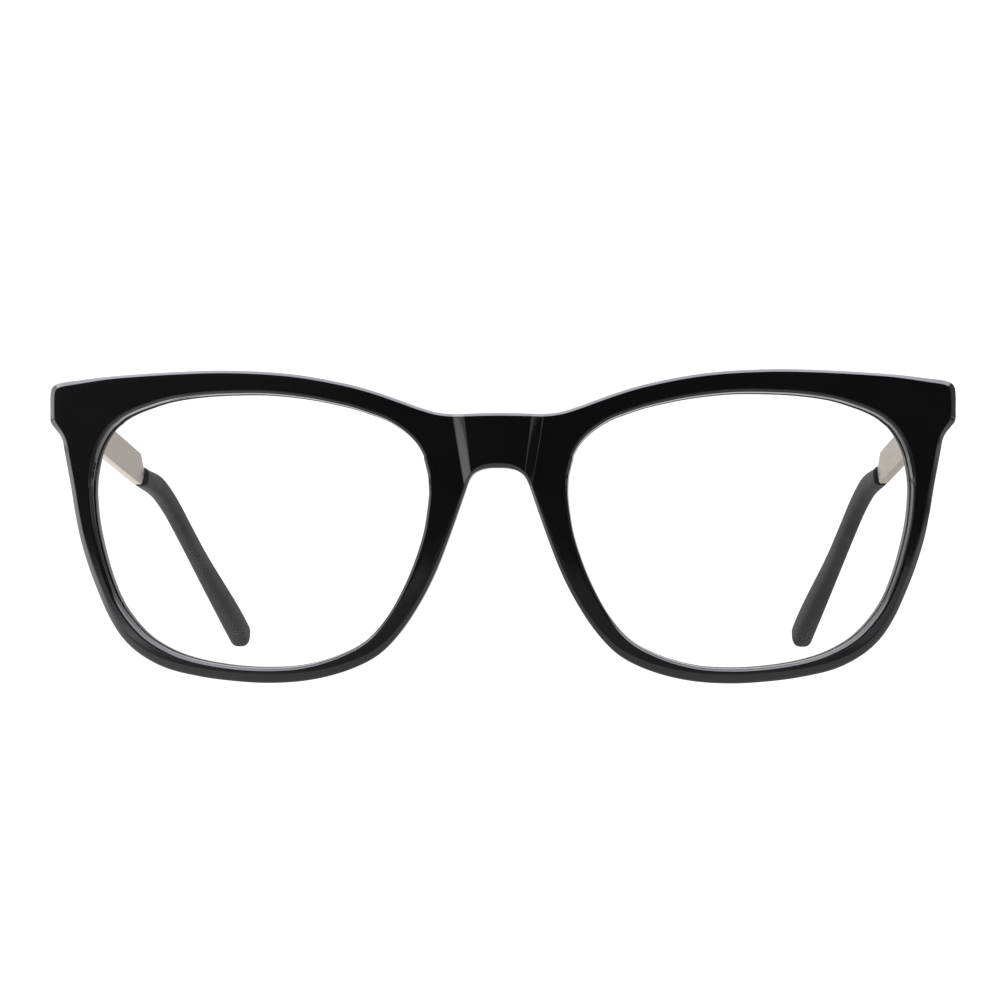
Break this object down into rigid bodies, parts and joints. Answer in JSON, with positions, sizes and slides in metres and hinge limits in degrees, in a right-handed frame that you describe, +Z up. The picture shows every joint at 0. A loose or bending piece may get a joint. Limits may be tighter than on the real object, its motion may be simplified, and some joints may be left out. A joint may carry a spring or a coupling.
{
  "type": "eyeglasses frame",
  "caption": "Eyeglasses with a dark curved acetate front, saddle bridge, clear lenses, hinged flat metal temples and slim drop tips.",
  "frame": {"origin": "middle of the box in X and Y, on the surface the frame stands on", "axes": "+X is the viewer's right when the front is looked at, +Y runs from the front to the temple tips, +Z is up"},
  "size_m": [0.1392, 0.1489, 0.047],
  "materials": {
    "front_acetate": "polished black acetate",
    "lens": "clear polished",
    "pad_acetate": "tumbled black acetate",
    "hinge_metal": "satin nickel",
    "screw_metal": "turned and plated",
    "temple_metal": "fine satin, warm silver",
    "tip_acetate": "satin black acetate"
  },
  "bodies": {
    "front": {"front_frame": "front_acetate", "lens_right": "lens", "lens_left": "lens", "nose_pad_right": "pad_acetate", "nose_pad_left": "pad_acetate", "front_leaf_right": "hinge_metal", "front_leaf_left": "hinge_metal", "hinge_screw_right": "screw_metal", "hinge_screw_left": "screw_metal"},
    "temple_right": {"temple_leaf_right": "hinge_metal", "temple_bar_right": "temple_metal", "temple_tip_right": "tip_acetate"},
    "temple_left": {"temple_leaf_left": "hinge_metal", "temple_bar_left": "temple_metal", "temple_tip_left": "tip_acetate"}
  },
  "joints": [
    {"name": "fold_right", "type": "hinge", "parent": "front", "child": "temple_right", "pos_m": [0.0636, -0.0583, 0.0412], "axis": [0, 0, 1], "range_deg": [0, 84]},
    {"name": "fold_left", "type": "hinge", "parent": "front", "child": "temple_left", "pos_m": [-0.0636, -0.0583, 0.0412], "axis": [0, 0, -1], "range_deg": [0, 88]}
  ]
}
